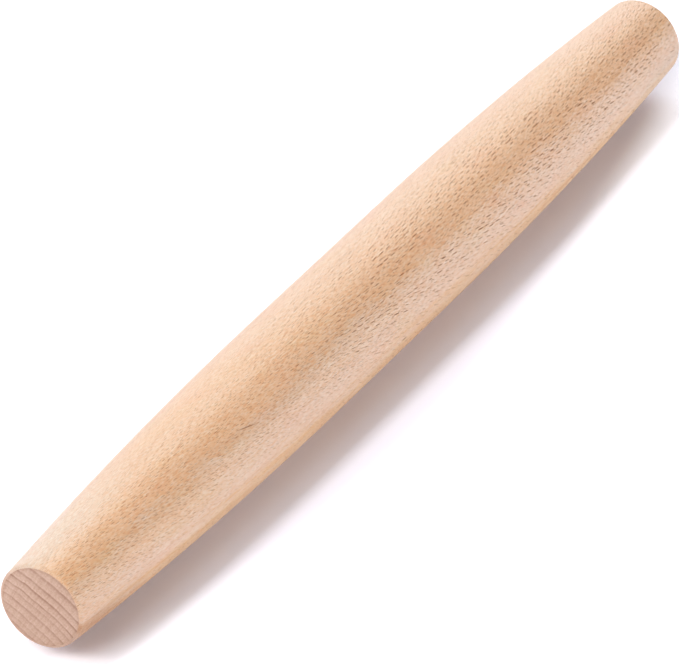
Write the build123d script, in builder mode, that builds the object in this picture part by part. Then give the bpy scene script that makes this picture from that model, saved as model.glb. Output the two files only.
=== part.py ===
"""A french rolling pin, turned from one piece of beech, lying on its belly.

All sizes are in millimetres. +X runs along the pin, +Z is up, and the origin is on the
worktop, under the middle of the belly.
"""
from build123d import *
import os

# The blank, cut to length and turned to the belly.
PIN_LENGTH = 400.0
BELLY_DIAMETER = 40.0

# The belly runs straight for this length about the middle of the pin.
BELLY_LENGTH = 80.0

# Each end falls away from the belly on one long arc to this diameter.
END_DIAMETER = 29.2

# The sharp corner round each end face is eased with sandpaper.
END_EASE_RADIUS = 1.0

BELLY_RADIUS = BELLY_DIAMETER / 2
END_RADIUS = END_DIAMETER / 2

# The turning axis, one belly radius above the worktop.
AXIS_PLANE = Plane.XY.offset(BELLY_RADIUS)
TURNING_AXIS = Axis((0, 0, BELLY_RADIUS), (1, 0, 0))


def half_outline():
    """Half of the turned outline, from the middle of the pin to the centre of its +X end."""
    middle = (0, BELLY_RADIUS)
    shoulder = (BELLY_LENGTH / 2, BELLY_RADIUS)
    end_corner = (PIN_LENGTH / 2, END_RADIUS)
    end_centre = (PIN_LENGTH / 2, 0)
    Line(middle, shoulder)
    # The taper leaves the belly without a kink, as the gouge does.
    TangentArc(shoulder, end_corner, tangent=(1, 0))
    Line(end_corner, end_centre)


def end_corners(outline):
    """The two sharp corners of the outline, one at each end, where the taper meets the end face."""
    by_length = outline.vertices().group_by(Axis.X)
    return [end.sort_by(Axis.Y)[-1] for end in (by_length[0], by_length[-1])]


with BuildPart() as rolling_pin:
    with BuildSketch(AXIS_PLANE) as outline:
        with BuildLine():
            half_outline()
            mirror(about=Plane.YZ)
            Line((-PIN_LENGTH / 2, 0), (PIN_LENGTH / 2, 0))
        make_face()
        fillet(end_corners(outline), radius=END_EASE_RADIUS)
    revolve(axis=TURNING_AXIS)
rolling_pin.part.label = "rolling_pin"

os.makedirs("parts", exist_ok=True)
export_step(rolling_pin.part, "parts/rolling_pin.step")

end_faces = rolling_pin.faces().filter_by(Axis.X)
flat_radius = END_RADIUS - END_EASE_RADIUS
print("volume", round(rolling_pin.part.volume), "mm3")
print("flat end faces", len(end_faces), "of radius", round(flat_radius, 2), "mm")
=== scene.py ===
"""A french rolling pin of steamed beech, lying on its belly on a white worktop.

All lengths are in metres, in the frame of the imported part: +X runs along the pin, +Z is up and the
origin is on the worktop, under the middle of the belly. The near end in the picture is the -X end.
"""
import logging
import math
from dataclasses import dataclass
from enum import Enum

import bmesh
import bpy
from mathutils import Matrix, Vector


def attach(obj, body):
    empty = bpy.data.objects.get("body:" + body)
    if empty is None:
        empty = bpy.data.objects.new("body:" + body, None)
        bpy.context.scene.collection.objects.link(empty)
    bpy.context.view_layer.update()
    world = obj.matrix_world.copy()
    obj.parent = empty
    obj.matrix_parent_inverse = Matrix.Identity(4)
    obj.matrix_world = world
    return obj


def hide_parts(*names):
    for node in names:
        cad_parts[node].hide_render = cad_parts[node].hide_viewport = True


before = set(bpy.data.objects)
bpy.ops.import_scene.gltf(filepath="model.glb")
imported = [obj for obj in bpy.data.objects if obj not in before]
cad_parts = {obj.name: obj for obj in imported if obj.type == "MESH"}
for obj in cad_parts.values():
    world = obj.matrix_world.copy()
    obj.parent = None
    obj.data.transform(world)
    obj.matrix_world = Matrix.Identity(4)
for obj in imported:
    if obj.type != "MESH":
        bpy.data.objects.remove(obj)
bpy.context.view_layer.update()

PIN_LENGTH = 0.400
BELLY_RADIUS = 0.020

Colour = tuple[float, float, float]
Point = tuple[float, float, float]
Stops = tuple[tuple[float, float], ...]
Socket = bpy.types.NodeSocket
Number = Socket | float
Paint = Socket | Colour

log = logging.getLogger("rolling_pin")


class Sum(Enum):
    """The sums that a Math node does here."""

    ADD = "ADD"
    SUBTRACT = "SUBTRACT"
    MULTIPLY = "MULTIPLY"
    MULTIPLY_ADD = "MULTIPLY_ADD"
    DIVIDE = "DIVIDE"
    POWER = "POWER"
    ROOT = "SQRT"
    ANGLE = "ARCTAN2"
    FRACTION = "FRACT"
    SIZE = "ABSOLUTE"


class Blend(Enum):
    """How a Mix node lays its second colour over its first."""

    MIX = "MIX"
    MULTIPLY = "MULTIPLY"


@dataclass(frozen=True)
class Pattern:
    """A soft random pattern: how many of its blotches fit in a metre each way, and how it is refined."""

    scale: Point
    seed: float
    detail: float = 1.0
    roughness: float = 0.5


class NodeBench:
    """Adds the nodes of one material or world, and joins them."""

    def __init__(self, tree: bpy.types.NodeTree) -> None:
        """Clears the tree, to build it from nothing.

        Args:
            tree: the node tree of a material or of the world.
        """
        self.tree = tree
        self.tree.nodes.clear()

    def add(self, kind: str, **settings: object) -> bpy.types.Node:
        """Adds a node.

        Args:
            kind: Blender's name for the kind of node, without its ShaderNode prefix.
            settings: values for the node's own properties.

        Returns:
            The new node.
        """
        node = self.tree.nodes.new("ShaderNode" + kind)
        for name, value in settings.items():
            setattr(node, name, value)
        return node

    def feed(self, target: Socket, source: Number | Point) -> None:
        """Joins a socket to the target, or sets the target to a fixed value.

        Args:
            target: the input socket.
            source: an output socket, a number or a triple.
        """
        if isinstance(source, Socket):
            self.tree.links.new(source, target)
        else:
            target.default_value = source

    def sum(self, kind: Sum, first: Number, second: Number = 0.0, third: Number = 0.0,
            clamp: bool = False) -> Socket:
        """Adds a Math node.

        Args:
            kind: the sum that it does.
            first: its first number.
            second: its second number, where the sum has one.
            third: its third number, where the sum has one.
            clamp: whether the result is held between 0 and 1.

        Returns:
            The result's socket.
        """
        node = self.add("Math", operation=kind.value, use_clamp=clamp)
        for target, source in zip(node.inputs, (first, second, third)):
            self.feed(target, source)
        return node.outputs[0]

    def plus(self, start: Number, *terms: tuple[Number, Number]) -> Socket:
        """Adds products to a number, one after the other.

        Args:
            start: the number.
            terms: the pairs of numbers whose products are added.

        Returns:
            The total's socket.
        """
        total = start
        for first, second in terms:
            total = self.sum(Sum.MULTIPLY_ADD, first, second, total)
        return total

    def product(self, first: Socket, *others: Number) -> Socket:
        """Multiplies numbers.

        Args:
            first: the first number.
            others: the numbers that it is multiplied by.

        Returns:
            The product's socket.
        """
        result = first
        for factor in others:
            result = self.sum(Sum.MULTIPLY, result, factor)
        return result

    def times(self, vector: Socket, factors: Point) -> Socket:
        """Scales a vector.

        Args:
            vector: the vector.
            factors: a factor for each of its three numbers.

        Returns:
            The scaled vector's socket.
        """
        node = self.add("VectorMath", operation="MULTIPLY")
        self.feed(node.inputs[0], vector)
        self.feed(node.inputs[1], factors)
        return node.outputs["Vector"]

    def length(self, vector: Socket) -> Socket:
        """Measures a vector.

        Args:
            vector: the vector.

        Returns:
            Its length's socket.
        """
        node = self.add("VectorMath", operation="LENGTH")
        self.feed(node.inputs[0], vector)
        return node.outputs["Value"]

    def join(self, x: Number, y: Number, z: Number) -> Socket:
        """Makes a vector.

        Args:
            x: its first number.
            y: its second number.
            z: its third number.

        Returns:
            The vector's socket.
        """
        node = self.add("CombineXYZ")
        for target, source in zip(node.inputs, (x, y, z)):
            self.feed(target, source)
        return node.outputs["Vector"]

    def split(self, vector: Socket) -> tuple[Socket, Socket, Socket]:
        """Takes a vector apart.

        Args:
            vector: the vector.

        Returns:
            The sockets of its three numbers.
        """
        node = self.add("SeparateXYZ")
        self.feed(node.inputs[0], vector)
        return node.outputs[0], node.outputs[1], node.outputs[2]

    def place(self, origin: Point, turn: float) -> Socket:
        """Adds the place on the object, read from an origin and axes of its own.

        Args:
            origin: the origin, in metres.
            turn: how far the axes are turned about X, in radians.

        Returns:
            The place's socket, in metres.
        """
        turned = self.add("Mapping", vector_type="TEXTURE")
        self.feed(turned.inputs["Vector"], self.add("TexCoord").outputs["Object"])
        turned.inputs["Location"].default_value = origin
        turned.inputs["Rotation"].default_value = (turn, 0.0, 0.0)
        return turned.outputs["Vector"]

    def noise(self, place: Socket, pattern: Pattern) -> Socket:
        """Adds a soft random pattern about 0, mostly between -0.5 and 0.5.

        Args:
            place: where the pattern is read, in metres.
            pattern: the pattern.

        Returns:
            The pattern's socket.
        """
        node = self.add("TexNoise", noise_dimensions="4D")
        self.feed(node.inputs["Vector"], self.times(place, pattern.scale))
        node.inputs["W"].default_value = pattern.seed
        node.inputs["Scale"].default_value = 1.0
        node.inputs["Detail"].default_value = pattern.detail
        node.inputs["Roughness"].default_value = pattern.roughness
        return self.sum(Sum.SUBTRACT, node.outputs[0], 0.5)

    def fade(self, value: Socket, start: float, end: float, low: float = 0.0,
             high: float = 1.0) -> Socket:
        """Passes smoothly from one number to another while a value goes from a start to an end.

        Args:
            value: the value that is followed.
            start: where the passage starts.
            end: where it ends.
            low: the number before it.
            high: the number after it.

        Returns:
            The result's socket.
        """
        node = self.add("MapRange", interpolation_type="SMOOTHSTEP")
        for target, source in zip(node.inputs, (value, start, end, low, high)):
            self.feed(target, source)
        return node.outputs[0]

    def ramp(self, value: Socket, stops: Stops) -> Socket:
        """Looks a value up on straight lines between a few stops.

        Args:
            value: the value, from 0 to 1.
            stops: pairs of a value and the number given there.

        Returns:
            The result's socket.
        """
        node = self.add("ValToRGB")
        elements = node.color_ramp.elements
        elements.remove(elements[-1])
        for index, (place, level) in enumerate(stops):
            stop = elements[0] if index == 0 else elements.new(place)
            stop.position = place
            stop.color = (level, level, level, 1.0)
        self.feed(node.inputs[0], value)
        return node.outputs["Color"]

    def curve(self, value: Socket, stops: Stops) -> Socket:
        """Looks a value up on straight lines between any number of stops.

        Args:
            value: the value, from 0 to 1.
            stops: pairs of a value and the number given there, the first at 0 and the last at 1.

        Returns:
            The result's socket.
        """
        node = self.add("FloatCurve")
        points = node.mapping.curves[0].points
        points[0].location = stops[0]
        points[1].location = stops[-1]
        for stop in stops[1:-1]:
            points.new(*stop)
        for point in points:
            point.handle_type = "VECTOR"
        node.mapping.update()
        self.feed(node.inputs["Value"], value)
        return node.outputs[0]

    def mix(self, share: Number, first: Paint, second: Paint, blend: Blend = Blend.MIX) -> Socket:
        """Lays one colour over another.

        Args:
            share: how much of the second colour shows, from 0 to 1.
            first: the colour below.
            second: the colour laid over it.
            blend: how it is laid.

        Returns:
            The colour's socket.
        """
        node = self.add("Mix", data_type="RGBA", blend_type=blend.value, clamp_factor=True)
        self.feed(node.inputs[0], share)
        for target, source in ((node.inputs[6], first), (node.inputs[7], second)):
            self.feed(target, (*source, 1.0) if isinstance(source, tuple) else source)
        return node.outputs[2]

    def stain(self, share: Number, colour: Paint, tint: Paint) -> Socket:
        """Returns the colour multiplied by the tint, as far as the share says."""
        return self.mix(share, colour, tint, Blend.MULTIPLY)

    def shade(self, colour: Socket, factor: Socket, warmth: float) -> Socket:
        """Makes a colour lighter or darker.

        Args:
            colour: the colour.
            factor: what it is multiplied by.
            warmth: how much more the blue changes than the green, and the green than the red.

        Returns:
            The colour's socket.
        """
        red = self.sum(Sum.POWER, factor, 1.0 - warmth)
        blue = self.sum(Sum.POWER, factor, 1.0 + warmth)
        return self.stain(1.0, colour, self.join(red, factor, blue))

    def show(self, shader: Socket, output: str = "OutputMaterial") -> None:
        """Joins a shader to the output of the tree."""
        self.feed(self.add(output).inputs["Surface"], shader)


def new_material(name: str) -> tuple[bpy.types.Material, NodeBench]:
    """Makes an empty material.

    Args:
        name: the material's name.

    Returns:
        The material, and the bench for its nodes.
    """
    material = bpy.data.materials.new(name)
    material.use_nodes = True
    return material, NodeBench(material.node_tree)


class Guide(Enum):
    """What a smooth passage can follow."""

    ALONG = "the way along the pin"
    FROM_MIDDLE = "the distance from the middle of the pin"
    REACH = "the distance from the pin's axis"
    SIDEWAYS = "how far the surface faces across the log, from -1 to 1"
    OUTWARD = "how far the surface faces away from the pith, from -1 to 1"
    # The edge of the painted reflection band, shifted on the near half.
    EDGE = "sideways, with a ragged edge"
    REFLECTION_EDGE = "the ragged edge, moved on the near half"
    OFF_FLAT = "how far a place is from the strip where the rings lie flat"
    STREAKED = "sideways, with long streaks"
    TONE = "a broad pattern"
    BLUSH = "a pattern of small blotches"
    PATCHES = "the pattern of where the coarse rays crowd"
    STREAK = "a pattern of long streaks"
    FIBRE = "a pattern as fine as the fibres"
    MOTTLE = "a pattern of short specks"
    AWAY = "how far outside the pin's shadow the worktop is"
    BEHIND = "how far a direction points behind the pin, from -1 to 1"


Guides = dict[Guide, Socket]


@dataclass(frozen=True)
class Passage:
    """A smooth passage from a low to a high number, while what it follows goes from start to end."""

    follows: Guide
    start: float
    end: float
    low: float = 0.0
    high: float = 1.0

    def at(self, bench: NodeBench, guides: Guides) -> Socket:
        """Returns the passage's number at a place."""
        return bench.fade(guides[self.follows], self.start, self.end, self.low, self.high)


Passages = tuple[Passage, ...]
NEAR_HALF = Passage(Guide.ALONG, 0.06, -0.05)


def opened(bench: NodeBench, guides: Guides, passages: Passages) -> Socket:
    """Returns the product of the passages' numbers at a place."""
    return bench.product(*(passage.at(bench, guides) for passage in passages))


@dataclass(frozen=True)
class Stain:
    """A tint on the wood, as strong as the product of its passages."""

    tint: Colour
    passages: Passages

    def lay(self, bench: NodeBench, guides: Guides, colour: Socket) -> Socket:
        """Returns the colour with the tint on it."""
        return bench.stain(opened(bench, guides, self.passages), colour, self.tint)


@dataclass(frozen=True)
class Log:
    """How the pin lies in the log that its blank was split from.

    The pith is a line outside the pin. It leans against the pin's axis, so the growth rings drift across
    the pin from the near end to the far end. The fibres wind slightly round the pith.
    """

    ring_turn: float = math.radians(29.9)
    pith_distance: float = 0.092
    lean_across: float = 0.035
    lean_outward: float = 0.006
    fibre_slope: float = 0.004
    fibre_bend: float = -0.200
    ring_widths: tuple[float, ...] = (
        0.0029, 0.0029, 0.0029, 0.0035, 0.0019, 0.0027, 0.0031, 0.0029, 0.0021, 0.0032, 0.0030, 0.0038,
        0.0030, 0.0028, 0.0027, 0.0027, 0.0029,
    )
    ring_strengths: tuple[float, ...] = (
        0.30, 0.35, 0.35, 0.40, 0.30, 0.45, 0.60, 0.35, 0.75, 1.00, 0.75, 0.70,
        0.45, 0.50, 0.50, 0.50, 0.50,
    )
    innermost_ring: float = -0.0245
    darkest_at: float = 0.95
    wander: float = 0.0013
    wander_pattern: Pattern = Pattern((9.0, 95.0, 95.0), seed=3.1)
    ripple: float = 0.00080
    ripple_pattern: Pattern = Pattern((28.0, 300.0, 130.0), seed=8.4)

    def blank(self, bench: NodeBench) -> Socket:
        """Returns the place in the blank, from the middle: along the pin, across the log and outward."""
        return bench.place((0.0, 0.0, BELLY_RADIUS), self.ring_turn)

    @staticmethod
    def reach(bench: NodeBench, blank: Socket) -> Socket:
        """Adds the distance of a place from the pin's axis.

        Args:
            bench: the material's nodes.
            blank: the place in the blank.

        Returns:
            The distance's socket, in metres.
        """
        across, outward = bench.split(blank)[1:]
        square = bench.plus(bench.product(across, across), (outward, outward))
        return bench.sum(Sum.ROOT, square)

    @staticmethod
    def bearing(bench: NodeBench, blank: Socket) -> tuple[Socket, Socket]:
        """Adds the way that the turned surface faces.

        Args:
            bench: the material's nodes.
            blank: the place in the blank.

        Returns:
            How far the surface faces across the log, and how far outward, each from -1 to 1.
        """
        across, outward = bench.split(blank)[1:]
        reach = Log.reach(bench, blank)
        return bench.sum(Sum.DIVIDE, across, reach), bench.sum(Sum.DIVIDE, outward, reach)

    def place(self, bench: NodeBench, blank: Socket) -> Socket:
        """Leans the place in the blank with the pith.

        Args:
            bench: the material's nodes.
            blank: the place in the blank.

        Returns:
            The place's socket, in metres.
        """
        along, across, outward = bench.split(blank)
        from_end = bench.sum(Sum.SUBTRACT, along, -PIN_LENGTH / 2)
        across = bench.plus(across, (from_end, self.lean_across))
        outward = bench.plus(outward, (from_end, self.lean_outward))
        return bench.join(along, across, outward)

    def polar(self, bench: NodeBench, place: Socket) -> Socket:
        """Bends the place round the pith, and winds it with the fibres.

        Args:
            bench: the material's nodes.
            place: the leaned place.

        Returns:
            A vector of the way along the pin, the way round the pith and the way outward, in metres.
        """
        along, across, outward = bench.split(place)
        from_pith = bench.sum(Sum.ADD, outward, self.pith_distance)
        square = bench.plus(bench.product(across, across), (from_pith, from_pith))
        depth = bench.sum(Sum.SUBTRACT, bench.sum(Sum.ROOT, square), self.pith_distance)
        around = bench.product(bench.sum(Sum.ANGLE, across, from_pith), self.pith_distance)
        slope = bench.plus(self.fibre_slope, (along, self.fibre_bend))
        around = bench.plus(around, (along, slope))
        return bench.join(along, around, depth)

    def rings(self, bench: NodeBench, place: Socket, polar: Socket) -> tuple[Socket, Socket]:
        """Counts the growth rings, the inmost of the pin's first.

        Args:
            bench: the material's nodes.
            place: the leaned place.
            polar: the place bent round the pith.

        Returns:
            How far through its year a place is, from spring at 0 to autumn at 1, and how dark the
            autumn wood of about that year is, from 0 to 1.
        """
        wander = bench.noise(place, self.wander_pattern)
        ripple = bench.noise(place, self.ripple_pattern)
        depth = bench.plus(bench.split(polar)[2], (wander, self.wander), (ripple, self.ripple))
        total = sum(self.ring_widths)
        years = len(self.ring_widths)
        depth_share = bench.sum(Sum.SUBTRACT, depth, self.innermost_ring)
        depth_share = bench.sum(Sum.DIVIDE, depth_share, total, clamp=True)
        edges = [(0.0, 0.0)]
        reached = 0.0
        for year, width in enumerate(self.ring_widths, start=1):
            reached += width
            edges.append((min(1.0, reached / total), year / years))
        count = bench.curve(depth_share, tuple(edges))
        dark = [(0.0, self.ring_strengths[0])]
        for year, strength in enumerate(self.ring_strengths):
            dark.append(((year + self.darkest_at) / years, strength))
        dark.append((1.0, self.ring_strengths[-1]))
        strength = bench.curve(count, tuple(dark))
        return bench.sum(Sum.FRACTION, bench.product(count, float(years))), strength


@dataclass(frozen=True)
class Rays:
    """One size of the rays, the thin upright sheets that beech shows as short dark flecks."""

    spacing_along: float
    spacing_round: float
    reach: float
    height: float
    thickness: float
    seed: float
    evenness: float
    least_depth: float
    core: float
    halo: float
    room: Passages
    least_size: float = 0.55
    size_range: float = 0.65
    stagger: float = 0.38
    fan: float = -0.16
    reach_taper: float = 0.8

    def nearest(self, bench: NodeBench, polar: Socket) -> tuple[Socket, Socket]:
        """Scatters the rays, and finds the nearest one.

        Args:
            bench: the material's nodes.
            polar: the place bent round the pith.

        Returns:
            The way from the middle of the nearest ray, in steps of their spacing, and three random
            numbers of that ray's own.
        """
        cell = (1 / self.spacing_along, 1 / self.spacing_round, 1 / self.reach)
        along, around, depth = bench.split(bench.times(polar, cell))
        along = bench.plus(along, (around, self.stagger))
        place = bench.join(bench.sum(Sum.ADD, along, self.seed), around, depth)
        scatter = bench.add("TexVoronoi", voronoi_dimensions="3D", feature="F1")
        bench.feed(scatter.inputs["Vector"], place)
        scatter.inputs["Scale"].default_value = 1.0
        scatter.inputs["Randomness"].default_value = 1.0 - self.evenness
        gap = bench.add("VectorMath", operation="SUBTRACT")
        bench.feed(gap.inputs[0], place)
        bench.feed(gap.inputs[1], scatter.outputs["Position"])
        return gap.outputs["Vector"], scatter.outputs["Color"]

    def flecks(self, bench: NodeBench, polar: Socket, guides: Guides) -> tuple[Socket, Socket]:
        """Adds the rays of this size, fanned out where the surface turns sideways.

        Args:
            bench: the material's nodes.
            polar: the place bent round the pith.
            guides: what the passages follow.

        Returns:
            How dark the flecks are at a place, and how light the wood is beside them.
        """
        gap, chance = self.nearest(bench, polar)
        along, around, depth = bench.split(gap)
        along = bench.plus(along, (around, -self.stagger))
        fan = self.fan * self.spacing_along / self.spacing_round
        around = bench.plus(around, (along, bench.product(guides[Guide.SIDEWAYS], fan)))
        shape = (
            2 * self.spacing_along / self.height,
            2 * self.spacing_round / self.thickness,
            self.reach_taper,
        )
        distance = bench.length(bench.times(bench.join(along, around, depth), shape))
        size, strength, _ = bench.split(chance)
        size = bench.plus(self.least_size, (size, self.size_range))
        strength = bench.plus(self.least_depth, (strength, 1.0 - self.least_depth))
        distance = bench.sum(Sum.DIVIDE, distance, size)
        shown = bench.product(opened(bench, guides, self.room), strength)
        dark = bench.product(bench.fade(distance, 1.0, self.core), shown)
        return dark, bench.product(bench.fade(distance, self.halo, 1.0), shown)


@dataclass(frozen=True)
class Mark:
    """One natural mark, a short dark streak, at an angle from the pin's top in degrees."""

    along: float
    turn: float
    radius: float
    length: float
    width: float
    slope: float
    darkness: float = 0.70
    core: float = 0.4

    def spot(self, bench: NodeBench) -> Socket:
        """Adds the mark.

        Args:
            bench: the material's nodes.

        Returns:
            How dark the mark is at a place, from 0 to 1.
        """
        turn = math.radians(self.turn)
        across = -self.radius * math.sin(turn)
        height = BELLY_RADIUS + self.radius * math.cos(turn)
        along, across, depth = bench.split(bench.place((self.along, across, height), turn))
        across = bench.plus(across, (along, self.slope))
        shape = (2 / self.length, 2 / self.width, 2 / self.length)
        distance = bench.length(bench.times(bench.join(along, across, depth), shape))
        return bench.fade(distance, 1.0, self.core, 0.0, self.darkness)


@dataclass(frozen=True)
class BareBeech:
    """Fine-sanded steamed beech without varnish: pinkish straw wood with a faint satin gloss."""

    log: Log = Log()
    end_wood: Colour = (0.543, 0.353, 0.257)
    gloss: float = 0.5
    refraction: float = 1.5
    fuzz: float = 0.06
    fuzz_spread: float = 0.35
    bump_height: float = 0.00016

    def surface(self, bench: NodeBench, colour: Socket, rough: Socket, relief: Socket,
                gloss: Number) -> None:
        """Joins colour, roughness and relief to the surface shader.

        Args:
            bench: the material's nodes.
            colour: the colour's socket.
            rough: the roughness' socket.
            relief: the height of the surface, in steps of the bump height.
            gloss: how much the surface mirrors, 0.5 for bare wood.
        """
        bump = bench.add("Bump")
        bump.inputs["Distance"].default_value = self.bump_height
        bench.feed(bump.inputs["Height"], relief)
        shader = bench.add("BsdfPrincipled")
        bench.feed(shader.inputs["Base Color"], colour)
        bench.feed(shader.inputs["Roughness"], rough)
        bench.feed(shader.inputs["Normal"], bump.outputs[0])
        bench.feed(shader.inputs["Specular IOR Level"], gloss)
        shader.inputs["IOR"].default_value = self.refraction
        shader.inputs["Sheen Weight"].default_value = self.fuzz
        shader.inputs["Sheen Roughness"].default_value = self.fuzz_spread
        bench.show(shader.outputs[0])


@dataclass(frozen=True)
class LongGrain(BareBeech):
    """The finish of the turned side: rings, fibres, ray flecks and slow changes of colour, with painted
    highlights, a painted reflection and painted shade.
    """

    wood: Colour = (0.668, 0.422, 0.264)
    autumn_tint: Colour = (0.86, 0.78, 0.72)
    autumn_share: float = 0.40
    autumn_stops: Stops = ((0.0, 0.55), (0.06, 0.0), (0.45, 0.12), (0.82, 0.45), (0.97, 1.0))
    # The strip where the rings lie flat is tinted darker and more golden: partly the wood's figure,
    # partly painted shade of the band that faces the camera between the lamps' reflections.
    flat_figure_and_shade_tint: Colour = (0.98, 0.94, 0.89)
    flat_offset: float = 0.02
    flat_strip: Passages = (
        Passage(Guide.OFF_FLAT, 0.48, 0.14),
        Passage(Guide.ALONG, -0.02, 0.11, 1.0, 0.20),
    )
    # Painted reflection: a whiter, bluer band along the pin's lower side, standing in for the gloss
    # mirroring the bright white worktop.
    painted_reflection_tint: Colour = (1.035, 1.14, 1.31)
    painted_reflection_shift: float = 0.08
    painted_reflection_first: Passage = Passage(Guide.REFLECTION_EDGE, -0.23, -0.34, 0.0, 0.42)
    painted_reflection_rest: Passage = Passage(Guide.REFLECTION_EDGE, -0.34, -0.66, 0.0, 0.58)
    painted_reflection_room: Passages = (
        Passage(Guide.OUTWARD, 0.25, 0.62),
        Passage(Guide.ALONG, -0.198, -0.165, 0.55, 1.0),
    )
    ochre: Stain = Stain((1.00, 0.96, 0.86), (Passage(Guide.TONE, -0.05, -0.30),))
    rose: Stain = Stain((0.98, 0.93, 0.93), (Passage(Guide.TONE, 0.05, 0.30),))
    # Painted highlight: a whiter, bluer patch on the upper side of the near end.
    near_end_highlight: Stain = Stain((1.02, 1.20, 1.45), (
        Passage(Guide.ALONG, -0.130, -0.188),
        Passage(Guide.SIDEWAYS, 0.15, 0.75),
        Passage(Guide.OUTWARD, -0.25, 0.25),
    ))
    golden: Stain = Stain((1.02, 1.03, 0.91), (Passage(Guide.STREAKED, -0.86, -1.00),))
    # Painted light: the upper side, which faces the lamps, a little lighter.
    painted_lit_side: Stain = Stain((1.035, 1.045, 1.03), (Passage(Guide.SIDEWAYS, -0.10, 0.35),))
    # Painted shade: a slightly darker band just below the flat strip, on the near half.
    painted_shade_band: Stain = Stain((0.93, 0.94, 0.965), (
        Passage(Guide.EDGE, -0.16, -0.30),
        Passage(Guide.EDGE, -0.60, -0.45),
        NEAR_HALF,
    ))
    # Painted shade: the underside of the near end, where the lamps barely reach, much darker.
    near_end_underside_shade: Stain = Stain((0.73, 0.63, 0.55), (
        Passage(Guide.ALONG, -0.150, -0.198),
        Passage(Guide.SIDEWAYS, -0.86, -0.985),
    ))
    # Painted shade: the underside of the far end darker and cooler.
    far_end_underside_shade: Stain = Stain((0.88, 0.92, 0.96), (
        Passage(Guide.ALONG, 0.150, 0.190),
        Passage(Guide.SIDEWAYS, -0.70, -0.92),
    ))
    blush: Stain = Stain((1.00, 0.955, 0.945), (Passage(Guide.BLUSH, 0.04, 0.26),))
    straw: Stain = Stain((0.99, 0.99, 0.94), (Passage(Guide.BLUSH, -0.04, -0.26),))
    corner: Passages = (
        Passage(Guide.FROM_MIDDLE, 0.1990, 0.1996, 0.0, 0.75),
        Passage(Guide.OUTWARD, 0.30, 0.05),
    )

    tone_pattern: Pattern = Pattern((7.0, 60.0, 60.0), seed=2.2, detail=2.0)
    streak_pattern: Pattern = Pattern((14.0, 420.0, 420.0), seed=4.9, detail=3.0, roughness=0.6)
    fibre_pattern: Pattern = Pattern((500.0, 2900.0, 2900.0), seed=6.3)
    mottle_pattern: Pattern = Pattern((80.0, 850.0, 850.0), seed=7.7)
    blush_pattern: Pattern = Pattern((55.0, 170.0, 170.0), seed=3.8)
    drift_pattern: Pattern = Pattern((24.0, 20.0, 20.0), seed=0.7)
    patch_pattern: Pattern = Pattern((30.0, 330.0, 60.0), seed=9.2)
    edge_mottle: float = -0.35
    edge_fibre: float = -0.25
    edge_drift: float = 0.30
    golden_streaks: float = 0.60
    streak_shade: Passage = Passage(Guide.SIDEWAYS, -0.80, -0.96, 0.14, 0.85)
    fibre_shade: float = 0.66
    flat_fibre_shade: float = 0.24
    mottle_shade: float = 0.12
    warmth: float = 0.75

    coarse_rays: Rays = Rays(
        spacing_along=0.0044, spacing_round=0.00112, reach=0.020, height=0.0033, thickness=0.00020,
        seed=1.3, evenness=0.34, least_depth=0.60, core=0.80, halo=2.6,
        room=(Passage(Guide.ALONG, -0.125, 0.015), Passage(Guide.PATCHES, -0.20, 0.00, 0.34, 1.0)),
    )
    fine_rays: Rays = Rays(
        spacing_along=0.0031, spacing_round=0.00060, reach=0.012, height=0.0023, thickness=0.00021,
        seed=5.7, evenness=0.22, least_depth=0.50, core=0.66, halo=2.4,
        room=(Passage(Guide.ALONG, -0.125, 0.015, 0.58, 0.46),),
    )
    # Fewer flecks towards the lower edge and towards the upper side; on the upper side this is a painted
    # highlight that washes them out.
    fleck_room_and_highlight: Passages = (
        Passage(Guide.SIDEWAYS, 0.82, 0.10, 0.30, 1.0),
        Passage(Guide.SIDEWAYS, -0.97, -0.55, 0.32, 1.0),
    )
    fleck_tint: Colour = (0.24, 0.100, 0.0)
    halo_tint: Colour = (1.10, 1.085, 1.05)
    marks: tuple[Mark, ...] = (
        Mark(-0.0980, 48.5, 0.0197, 0.0110, 0.00046, 0.27),
        Mark(-0.0050, 101.5, 0.0200, 0.0042, 0.00090, 0.10),
    )
    mottle_relief: float = 0.8
    fleck_relief: float = -0.8
    roughness: float = 0.37
    mottle_roughness: float = 0.20
    fibre_roughness: float = 0.08
    fleck_gloss: float = 0.05

    def guides(self, bench: NodeBench, blank: Socket, place: Socket, polar: Socket) -> Guides:
        """Adds what the passages over the turned side follow.

        Args:
            bench: the material's nodes.
            blank: the place in the blank.
            place: the leaned place.
            polar: the place bent round the pith.

        Returns:
            The socket of each guide.
        """
        along = bench.split(place)[0]
        sideways, outward = self.log.bearing(bench, blank)
        mottle = bench.noise(polar, self.mottle_pattern)
        fibre = bench.noise(polar, self.fibre_pattern)
        streak = bench.noise(polar, self.streak_pattern)
        drift = bench.noise(place, self.drift_pattern)
        edge = bench.plus(
            sideways, (mottle, self.edge_mottle), (fibre, self.edge_fibre), (drift, self.edge_drift),
        )
        near_half = NEAR_HALF.at(bench, {Guide.ALONG: along})
        return {
            Guide.ALONG: along,
            Guide.FROM_MIDDLE: bench.sum(Sum.SIZE, along),
            Guide.SIDEWAYS: sideways,
            Guide.OUTWARD: outward,
            Guide.EDGE: edge,
            Guide.REFLECTION_EDGE: bench.plus(edge, (near_half, self.painted_reflection_shift)),
            Guide.OFF_FLAT: bench.sum(Sum.SIZE, bench.sum(Sum.ADD, edge, self.flat_offset)),
            Guide.STREAKED: bench.plus(sideways, (streak, self.golden_streaks)),
            Guide.TONE: bench.noise(place, self.tone_pattern),
            Guide.BLUSH: bench.noise(polar, self.blush_pattern),
            Guide.PATCHES: bench.noise(polar, self.patch_pattern),
            Guide.STREAK: streak,
            Guide.FIBRE: fibre,
            Guide.MOTTLE: mottle,
        }

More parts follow.
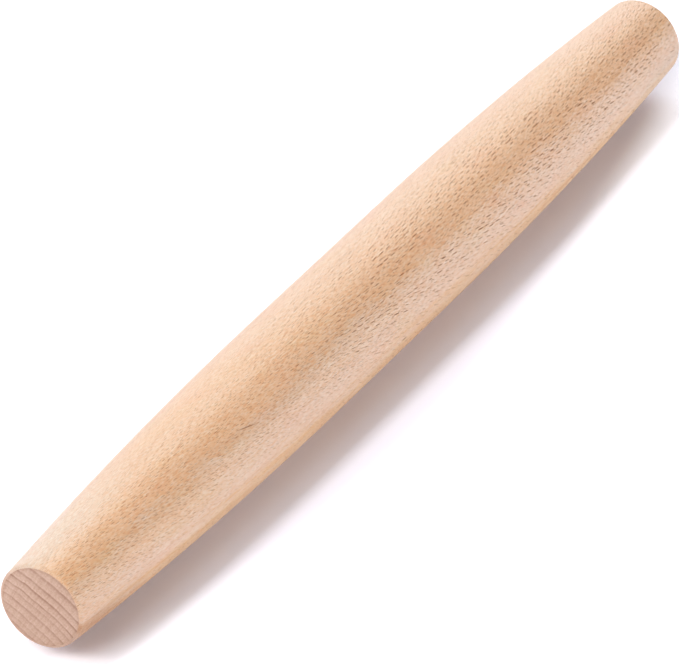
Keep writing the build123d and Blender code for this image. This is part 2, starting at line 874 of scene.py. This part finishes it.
    def ground(self, bench: NodeBench, guides: Guides, autumn: Socket) -> Socket:
        """Mixes the wood's colour before any flecks, with its painted highlights, reflection and shade.

        Args:
            bench: the material's nodes.
            guides: what the passages follow.
            autumn: how much autumn wood a place has, from 0 to 1.

        Returns:
            The colour's socket.
        """
        flat = opened(bench, guides, self.flat_strip)
        # Painted reflection of the white worktop on the lower side.
        painted_reflection = bench.sum(Sum.ADD, self.painted_reflection_first.at(bench, guides), self.painted_reflection_rest.at(bench, guides))
        painted_reflection = bench.product(painted_reflection, opened(bench, guides, self.painted_reflection_room))
        colour = bench.stain(bench.product(autumn, self.autumn_share), self.wood, self.autumn_tint)
        colour = bench.stain(flat, colour, self.flat_figure_and_shade_tint)
        colour = bench.stain(painted_reflection, colour, self.painted_reflection_tint)
        for stain in (
            self.ochre, self.rose, self.near_end_highlight, self.golden, self.painted_lit_side,
            self.painted_shade_band, self.near_end_underside_shade, self.far_end_underside_shade, self.blush, self.straw,
        ):
            colour = stain.lay(bench, guides, colour)
        shade = bench.plus(
            1.0,
            (guides[Guide.STREAK], self.streak_shade.at(bench, guides)),
            (guides[Guide.FIBRE], bench.plus(self.fibre_shade, (flat, self.flat_fibre_shade))),
            (guides[Guide.MOTTLE], self.mottle_shade),
        )
        return bench.shade(colour, shade, self.warmth)

    def flecks(self, bench: NodeBench, polar: Socket, guides: Guides) -> tuple[Socket, Socket, Socket]:
        """Adds both sizes of rays, the coarse ones at the far half and the fine ones all over.

        Args:
            bench: the material's nodes.
            polar: the place bent round the pith.
            guides: what the passages follow.

        Returns:
            How dark the flecks are at a place, how light the wood is beside them, and how deep they
            are, each from 0 to 1.
        """
        coarse_dark, coarse_light = self.coarse_rays.flecks(bench, polar, guides)
        fine_dark, fine_light = self.fine_rays.flecks(bench, polar, guides)
        deep = bench.sum(Sum.ADD, fine_dark, coarse_dark, clamp=True)
        light = bench.sum(Sum.ADD, fine_light, coarse_light, clamp=True)
        # Flecks thinned towards the lower edge and under the painted highlight on the upper side.
        shown = opened(bench, guides, self.fleck_room_and_highlight)
        return bench.product(deep, shown), bench.product(light, shown), deep

    def material(self) -> bpy.types.Material:
        """Makes the finish.

        Returns:
            The material.
        """
        material, bench = new_material("beech_long_grain")
        blank = self.log.blank(bench)
        place = self.log.place(bench, blank)
        polar = self.log.polar(bench, place)
        guides = self.guides(bench, blank, place, polar)
        year, strength = self.log.rings(bench, place, polar)
        autumn = bench.product(bench.ramp(year, self.autumn_stops), strength)
        colour = self.ground(bench, guides, autumn)
        dark, light, deep = self.flecks(bench, polar, guides)
        for mark in self.marks:
            dark = bench.sum(Sum.ADD, dark, mark.spot(bench), clamp=True)
        colour = bench.stain(light, colour, self.halo_tint)
        colour = bench.stain(dark, colour, self.fleck_tint)
        colour = bench.mix(opened(bench, guides, self.corner), colour, self.end_wood)
        mottle = guides[Guide.MOTTLE]
        fibre = guides[Guide.FIBRE]
        relief = bench.plus(fibre, (mottle, self.mottle_relief), (deep, self.fleck_relief))
        rough = bench.plus(
            self.roughness, (mottle, self.mottle_roughness), (fibre, self.fibre_roughness),
        )
        gloss = bench.fade(dark, 0.0, 1.0, self.gloss, self.fleck_gloss)
        self.surface(bench, colour, rough, relief, gloss)
        return material


@dataclass(frozen=True)
class EndGrain(BareBeech):
    """The finish of the sawn and sanded ends: rings cut across, fine rays and specks of pores."""

    autumn_tint: Colour = (0.63, 0.51, 0.44)
    autumn_stops: Stops = ((0.0, 0.55), (0.06, 0.0), (0.48, 0.0), (0.72, 0.22), (0.89, 0.9), (0.97, 1.0))
    spring_stops: Stops = ((0.0, 0.0), (0.08, 0.6), (0.16, 1.0), (0.34, 0.0))
    uneven_pattern: Pattern = Pattern((20.0, 260.0, 60.0), seed=2.9, detail=2.0)
    uneven_rings: float = 2.4
    ray_pattern: Pattern = Pattern((60.0, 1350.0, 60.0), seed=1.9, detail=2.0, roughness=0.65)
    ray_shade: float = 0.58
    ray_relief: float = 0.8
    pore_pattern: Pattern = Pattern((300.0, 1500.0, 1500.0), seed=5.1)
    pore_shade: float = 0.55
    tone_pattern: Pattern = Pattern((10.0, 110.0, 110.0), seed=6.6, detail=2.0)
    tone_shade: float = 0.20
    spring_shade: float = 0.14
    # The end face a little darker towards its rim.
    darker_end_rim: Passage = Passage(Guide.REACH, 0.0124, 0.0136, 1.0, 0.88)
    warmth: float = 0.30
    roughness: float = 0.62
    pore_roughness: float = 0.10

    def material(self) -> bpy.types.Material:
        """Makes the finish.

        Returns:
            The material.
        """
        material, bench = new_material("beech_end_grain")
        blank = self.log.blank(bench)
        place = self.log.place(bench, blank)
        polar = self.log.polar(bench, place)
        year, strength = self.log.rings(bench, place, polar)
        uneven = bench.noise(polar, self.uneven_pattern)
        rays = bench.noise(polar, self.ray_pattern)
        pores = bench.noise(place, self.pore_pattern)
        tone = bench.noise(place, self.tone_pattern)
        spring = bench.product(bench.ramp(year, self.spring_stops), strength)
        uneven = bench.plus(1.0, (uneven, self.uneven_rings))
        strength = bench.sum(Sum.MULTIPLY, strength, uneven, clamp=True)
        autumn = bench.product(bench.ramp(year, self.autumn_stops), strength)
        colour = bench.stain(autumn, self.end_wood, self.autumn_tint)
        shade = bench.plus(
            1.0, (rays, self.ray_shade), (pores, self.pore_shade), (tone, self.tone_shade),
            (spring, self.spring_shade),
        )
        rim = self.darker_end_rim.at(bench, {Guide.REACH: self.log.reach(bench, blank)})
        colour = bench.shade(colour, bench.product(shade, rim), self.warmth)
        relief = bench.plus(pores, (rays, self.ray_relief))
        rough = bench.plus(self.roughness, (pores, self.pore_roughness))
        self.surface(bench, colour, rough, relief, self.gloss)
        return material


def place_object(name: str, data: bpy.types.ID) -> bpy.types.Object:
    """Makes an object and puts it into the scene, at the origin.

    Args:
        name: the object's name.
        data: its mesh, lamp or camera.

    Returns:
        The object.
    """
    placed = bpy.data.objects.new(name, data)
    bpy.context.scene.collection.objects.link(placed)
    return placed


@dataclass
class TurnedPin:
    """The whole pin: a straight belly, two arms that fall away on one long arc each, and flat ends."""

    length: float = PIN_LENGTH
    belly_radius: float = BELLY_RADIUS
    belly_length: float = 0.080
    end_radius: float = 0.0146
    end_ease_radius: float = 0.001
    steps_round: int = 224
    steps_half_belly: int = 6
    steps_arm: int = 60
    steps_ease: int = 6
    rings_on_end: int = 3
    merge_distance: float = 1e-6
    end_grain_from: float = 0.995
    flat_from: float = 0.9999
    side: LongGrain = LongGrain()
    ends: EndGrain = EndGrain()

    def half_outline(self, mesh: bmesh.types.BMesh) -> None:
        """Draws the outline of the +X half above the axis, from the end's centre to the middle.

        Args:
            mesh: the empty mesh that the outline is drawn in, with the axis along X.
        """
        end_x = self.length / 2
        shoulder_x = self.belly_length / 2
        run = end_x - shoulder_x
        drop = self.belly_radius - self.end_radius
        arm_radius = (run * run + drop * drop) / (2 * drop)
        arm_centre = Vector((shoulder_x, 0.0, self.belly_radius - arm_radius))
        ease_x = end_x - self.end_ease_radius
        ease_reach = arm_radius - self.end_ease_radius
        ease_angle = math.asin((ease_x - shoulder_x) / ease_reach)
        ease_centre = arm_centre + ease_reach * Vector((math.sin(ease_angle), 0.0, math.cos(ease_angle)))
        turning = Vector((0.0, 1.0, 0.0))

        corner = bmesh.ops.create_vert(mesh, co=(end_x, 0.0, ease_centre.z))["vert"][0]
        turned = bmesh.ops.spin(
            mesh, geom=[corner], cent=ease_centre, axis=turning, dvec=Vector(),
            angle=ease_angle - math.pi / 2, steps=self.steps_ease,
        )
        tangent = self.last_vertex(turned["geom_last"])
        turned = bmesh.ops.spin(
            mesh, geom=[tangent], cent=arm_centre, axis=turning, dvec=Vector(),
            angle=-ease_angle, steps=self.steps_arm,
        )
        shoulder = self.last_vertex(turned["geom_last"])
        self.run_on(mesh, shoulder, Vector((0.0, 0.0, self.belly_radius)), self.steps_half_belly)
        self.run_on(mesh, corner, Vector((end_x, 0.0, 0.0)), self.rings_on_end)

    @staticmethod
    def last_vertex(geometry: list) -> bmesh.types.BMVert:
        """Returns the vertex at the end of a spun line."""
        return next(part for part in geometry if isinstance(part, bmesh.types.BMVert))

    @staticmethod
    def run_on(mesh: bmesh.types.BMesh, start: bmesh.types.BMVert, goal: Vector, steps: int) -> None:
        """Extrudes a vertex along a straight line.

        Args:
            mesh: the mesh.
            start: the vertex that the line starts from.
            goal: where the line ends.
            steps: how many edges it has.
        """
        step = (goal - start.co) / steps
        vertex = start
        for _ in range(steps):
            made = bmesh.ops.extrude_vert_indiv(mesh, verts=[vertex])
            vertex = made["verts"][0]
            bmesh.ops.translate(mesh, verts=[vertex], vec=step)

    def build(self) -> bpy.types.Object:
        """Turns the pin from its outline.

        Returns:
            The pin's object, at the origin, with its place in its mesh.
        """
        mesh = bmesh.new()
        self.half_outline(mesh)
        bmesh.ops.mirror(
            mesh, geom=mesh.verts[:] + mesh.edges[:], matrix=Matrix(),
            merge_dist=self.merge_distance, axis="X",
        )
        bmesh.ops.spin(
            mesh, geom=mesh.verts[:] + mesh.edges[:], cent=Vector(), axis=Vector((1.0, 0.0, 0.0)),
            dvec=Vector(), angle=2 * math.pi, steps=self.steps_round, use_merge=True,
        )
        bmesh.ops.remove_doubles(mesh, verts=mesh.verts[:], dist=self.merge_distance)
        bmesh.ops.recalc_face_normals(mesh, faces=mesh.faces[:])
        bmesh.ops.translate(mesh, verts=mesh.verts[:], vec=Vector((0.0, 0.0, self.belly_radius)))
        self.mark_ends(mesh)
        data = bpy.data.meshes.new("turned_pin")
        mesh.to_mesh(data)
        mesh.free()
        return place_object("turned_pin", data)

    def mark_ends(self, mesh: bmesh.types.BMesh) -> None:
        """Gives the ends the second finish, and shades all but their flats smoothly.

        Args:
            mesh: the turned mesh.
        """
        for face in mesh.faces:
            facing = abs(face.normal.x)
            face.material_index = int(facing > self.end_grain_from)
            face.smooth = facing < self.flat_from

    def dress(self, piece: bpy.types.Object) -> None:
        """Gives the pin its two finishes, ties it to the part's body and hides the part's own node.

        Args:
            piece: the pin's object.
        """
        piece.data.materials.append(self.side.material())
        piece.data.materials.append(self.ends.material())
        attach(piece, "root")
        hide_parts("rolling_pin")


@dataclass(frozen=True)
class Softbox:
    """One flat lamp that shines on the pin from a direction, given by its angles in degrees."""

    name: str
    heading: float
    elevation: float
    distance: float
    width: float
    height: float
    radiance: float

    def hang(self, aim: Point) -> None:
        """Hangs the lamp, facing the pin.

        Args:
            aim: the point that the lamp faces.
        """
        heading = math.radians(self.heading)
        elevation = math.radians(self.elevation)
        towards = Vector((
            math.cos(elevation) * math.cos(heading),
            math.cos(elevation) * math.sin(heading),
            math.sin(elevation),
        ))
        data = bpy.data.lights.new(self.name, "AREA")
        data.shape = "RECTANGLE"
        data.size = self.width
        data.size_y = self.height
        data.energy = self.radiance * math.pi * self.width * self.height
        lamp = place_object(self.name, data)
        lamp.location = Vector(aim) + self.distance * towards
        lamp.rotation_euler = towards.to_track_quat("Z", "Y").to_euler()


@dataclass
class Studio:
    """The worktop, the lamps, the white room and the camera."""

    aim: Point = (0.0, 0.0, 0.010)
    worktop_radius: float = 3.0
    worktop_corners: int = 96
    worktop_colour: Colour = (0.895, 0.885, 0.980)
    # shadow_bend, near_room and far_stretch draw an outline of the pin's shadow on the worktop; the glow
    # rises outside it, painted light that trims the shadow's edge.
    shadow_bend: float = 0.747
    near_room: Passage = Passage(Guide.ALONG, -0.186, -0.212, 0.0, 0.050)
    far_stretch: Passage = Passage(Guide.ALONG, -0.13, 0.17, 1.0, 1.30)
    glow: Passage = Passage(Guide.AWAY, 0.0345, 0.0520, 0.06, 0.37)
    wall: Passage = Passage(Guide.BEHIND, -0.05, 0.05)
    softboxes: tuple[Softbox, ...] = (
        Softbox("overhead_strip", 90.0, 75.0, 1.0, 1.4, 0.22, 6.1),
        Softbox("front_card", 270.0, 8.0, 1.5, 1.3, 0.36, 8.8),
        Softbox("front_box", 270.0, 25.0, 1.5, 1.3, 0.50, 0.95),
        Softbox("left_box", 165.0, 30.0, 1.5, 1.0, 0.50, 8.0),
        Softbox("left_top_box", 180.0, 52.0, 1.5, 1.0, 0.50, 1.7),
        Softbox("back_low_card", 40.0, 6.0, 1.5, 1.3, 0.35, 1.7),
        Softbox("back_box", 30.0, 22.0, 1.5, 1.3, 0.40, 3.2),
        Softbox("back_top_box", 25.0, 38.0, 1.5, 1.3, 0.40, 2.3),
        Softbox("right_card", 315.0, 7.0, 1.5, 1.0, 0.35, 1.9),
        Softbox("far_box", 0.0, 50.0, 1.5, 0.8, 0.50, 1.15),
    )
    camera_aim: Point = (-0.01718, -0.00236, 0.020)
    camera_distance: float = 2.4902
    camera_elevation: float = 32.12
    camera_turn: float = -60.73
    camera_lens: float = 408.45
    camera_sensor: float = 36.0
    camera_range: float = 20.0

    def lay_worktop(self) -> None:
        """Lays the worktop under the pin, with a glow that keeps it white outside the shadow."""
        mesh = bmesh.new()
        bmesh.ops.create_circle(
            mesh, cap_ends=True, segments=self.worktop_corners, radius=self.worktop_radius,
        )
        data = bpy.data.meshes.new("worktop")
        mesh.to_mesh(data)
        mesh.free()
        worktop = place_object("worktop", data)
        material, bench = new_material("white_worktop")
        matt = bench.add("BsdfDiffuse")
        matt.inputs["Color"].default_value = (*self.worktop_colour, 1.0)
        glow = bench.add("Emission")
        bench.feed(glow.inputs["Strength"], bench.product(self.seen(bench), self.glow_level(bench)))
        both = bench.add("AddShader")
        bench.feed(both.inputs[0], matt.outputs[0])
        bench.feed(both.inputs[1], glow.outputs[0])
        bench.show(both.outputs[0])
        data.materials.append(material)

    def glow_level(self, bench: NodeBench) -> Socket:
        """Adds the worktop's glow, weak in the shadow and stronger outside it.

        Args:
            bench: the material's nodes.

        Returns:
            The glow's socket.
        """
        along, across, _ = bench.split(bench.add("TexCoord").outputs["Object"])
        guides = {Guide.ALONG: along}
        # Painted light: the glow follows a drawn outline of the pin's shadow.
        away = bench.product(along, bench.product(along, self.shadow_bend))
        away = bench.sum(Sum.ADD, away, self.near_room.at(bench, guides))
        stretch = self.far_stretch.at(bench, guides)
        away = bench.plus(away, (bench.sum(Sum.SIZE, across), stretch))
        return self.glow.at(bench, {Guide.AWAY: away})

    @staticmethod
    def seen(bench: NodeBench) -> Socket:
        """Adds a switch that is 1 where the camera sees the surface, straight or in a reflection.

        Args:
            bench: the material's nodes.

        Returns:
            The switch's socket.
        """
        path = bench.add("LightPath")
        straight = bench.sum(Sum.ADD, path.outputs["Is Camera Ray"], path.outputs["Is Glossy Ray"])
        return bench.sum(Sum.ADD, straight, path.outputs["Is Transmission Ray"], clamp=True)

    def light_room(self) -> None:
        """Makes the room white to the camera. The gloss sees it white behind the pin only."""
        world = bpy.data.worlds.new("white_room")
        world.use_nodes = True
        bpy.context.scene.world = world
        bench = NodeBench(world.node_tree)
        light = bench.add("Background")
        path = bench.add("LightPath")
        heading = bench.split(bench.add("TexCoord").outputs["Generated"])[1]
        behind = self.wall.at(bench, {Guide.BEHIND: heading})
        glossy = bench.product(path.outputs["Is Glossy Ray"], behind)
        straight = bench.sum(Sum.ADD, path.outputs["Is Camera Ray"], path.outputs["Is Transmission Ray"])
        bench.feed(light.inputs["Strength"], bench.sum(Sum.ADD, straight, glossy, clamp=True))
        bench.show(light.outputs[0], "OutputWorld")

    def set_camera(self) -> None:
        """Sets the camera where the photograph was taken from."""
        data = bpy.data.cameras.new("camera")
        data.lens = self.camera_lens
        data.sensor_width = self.camera_sensor
        data.sensor_fit = "HORIZONTAL"
        data.clip_end = self.camera_range
        camera = place_object("camera", data)
        pitch = math.radians(90.0 - self.camera_elevation)
        camera.rotation_euler = (pitch, 0.0, math.radians(self.camera_turn))
        back = camera.rotation_euler.to_matrix() @ Vector((0.0, 0.0, 1.0))
        camera.location = Vector(self.camera_aim) + self.camera_distance * back
        bpy.context.scene.camera = camera

    def set_up(self) -> None:
        """Sets up the camera, the worktop and the light, and the plain view transform."""
        self.set_camera()
        self.lay_worktop()
        self.light_room()
        for softbox in self.softboxes:
            softbox.hang(self.aim)
        bpy.context.scene.view_settings.view_transform = "Standard"


def main() -> None:
    """Builds the studio and the pin, and reports what was made."""
    logging.basicConfig(level=logging.INFO, format="%(name)s: %(message)s")
    studio = Studio()
    studio.set_up()
    log.info("studio: one worktop, one camera and %d lamps", len(studio.softboxes))
    pin = TurnedPin()
    piece = pin.build()
    pin.dress(piece)
    log.info("turned_pin: one piece of beech, %d faces", len(piece.data.polygons))


if __name__ == "__main__":
    main()
